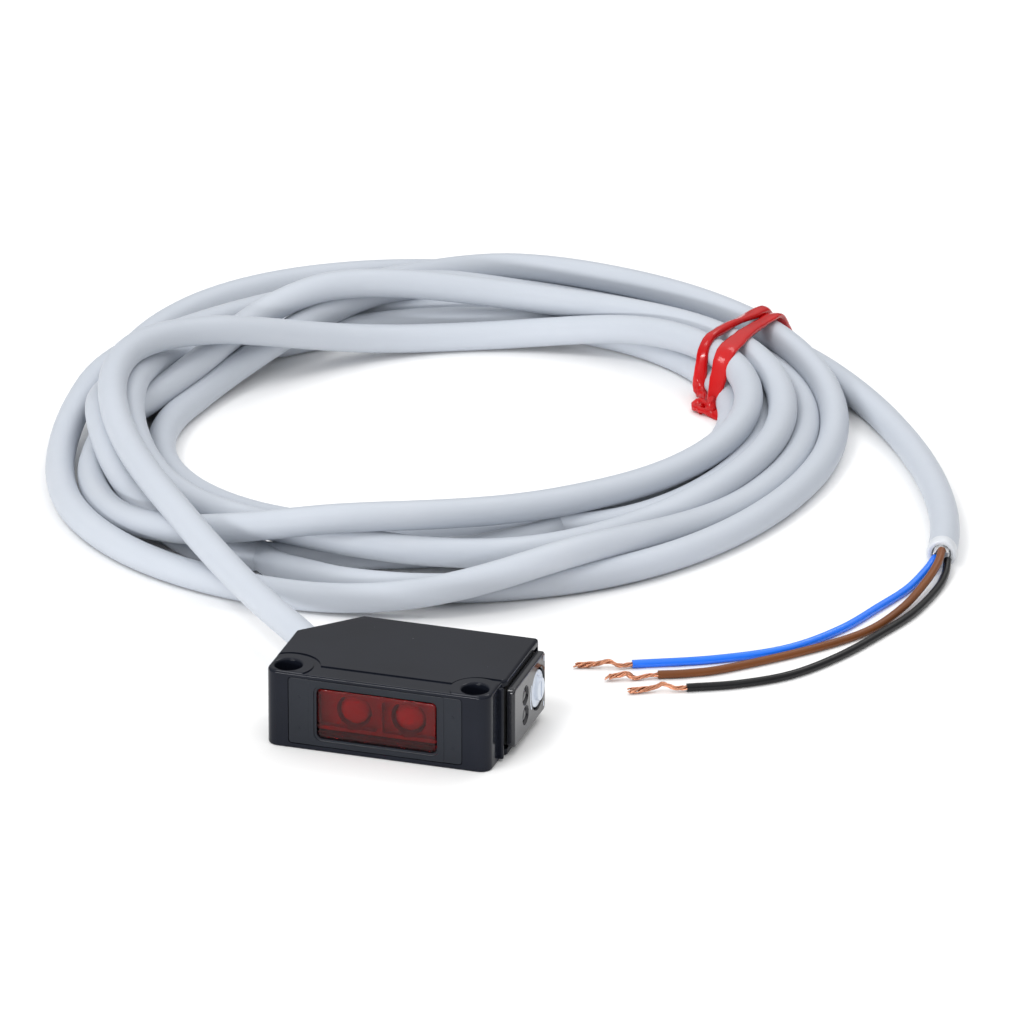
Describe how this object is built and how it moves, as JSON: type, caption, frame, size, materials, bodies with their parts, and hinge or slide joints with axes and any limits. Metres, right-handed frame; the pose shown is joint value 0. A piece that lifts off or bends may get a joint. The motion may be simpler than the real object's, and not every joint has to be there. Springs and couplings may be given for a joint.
{
  "type": "photoelectric sensor",
  "caption": "Compact rectangular photoelectric sensor with a red lens window, white rotary adjuster, side mounting holes and a tied coil of grey cable ending in bare coloured cores.",
  "frame": {"origin": "middle of the sensor body's base: half its overall length and depth, on the plane it lies on", "axes": "+X along the case towards the adjuster end, -Y out of the lens face, +Z through the 10.8 mm thickness, up off the surface it lies on"},
  "size_m": [0.1325, 0.161, 0.0108],
  "materials": {
    "case": "satin black moulded plastic",
    "lens_cover": "dark smoked glossy plastic",
    "window": "deep red translucent filter",
    "gasket": "black seal rubber",
    "lens_frame": "dark moulded plastic",
    "lens": "clear moulded lens",
    "circuit_board": "green solder mask",
    "electronic_part": "black moulded package",
    "light_part": "pale moulded package",
    "tinned_metal": "tinned sheet metal",
    "end_panel": "dark translucent glossy plastic",
    "adjuster": "white satin plastic",
    "cable_sheath": "pale grey matte PVC",
    "core_blue": "blue PVC insulation",
    "core_brown": "brown PVC insulation",
    "core_black": "black PVC insulation",
    "copper": "bare twisted copper strands",
    "tie": "glossy red plastic coating"
  },
  "bodies": {
    "sensor": {"housing": "case", "side_cover": "case", "lens_cover": "lens_cover", "window_filter": "window", "cover_gasket": "gasket", "end_gasket": "gasket", "adjuster_seal": "gasket", "cable_bush": "gasket", "lens_frame": "lens_frame", "emitter_lens": "lens", "receiver_lens": "lens", "main_board": "circuit_board", "indicator_board": "circuit_board", "receiver_chip": "electronic_part", "control_chip": "electronic_part", "output_transistor": "electronic_part", "trimmer_body": "electronic_part", "emitter_led": "light_part", "supply_capacitor": "light_part", "indicator_led_upper": "light_part", "indicator_led_lower": "light_part", "receiver_shield": "tinned_metal", "cable_crimp": "tinned_metal", "end_panel": "end_panel", "light_guide_upper": "end_panel", "light_guide_lower": "end_panel", "cable_lead": "cable_sheath", "cable_coil": "cable_sheath", "cable_tail": "cable_sheath", "core_blue": "core_blue", "inner_core_blue": "core_blue", "core_brown": "core_brown", "inner_core_brown": "core_brown", "core_black": "core_black", "inner_core_black": "core_black", "copper_end_blue": "copper", "copper_end_brown": "copper", "copper_end_black": "copper", "coil_tie": "tie"},
    "adjuster": {"adjuster_knob": "adjuster"}
  },
  "joints": [
    {"name": "adjuster_turn", "type": "hinge", "parent": "sensor", "child": "adjuster", "pos_m": [0.0156, 0.006, 0.0054], "axis": [1, 0, 0], "range_deg": [-120, 120]}
  ]
}
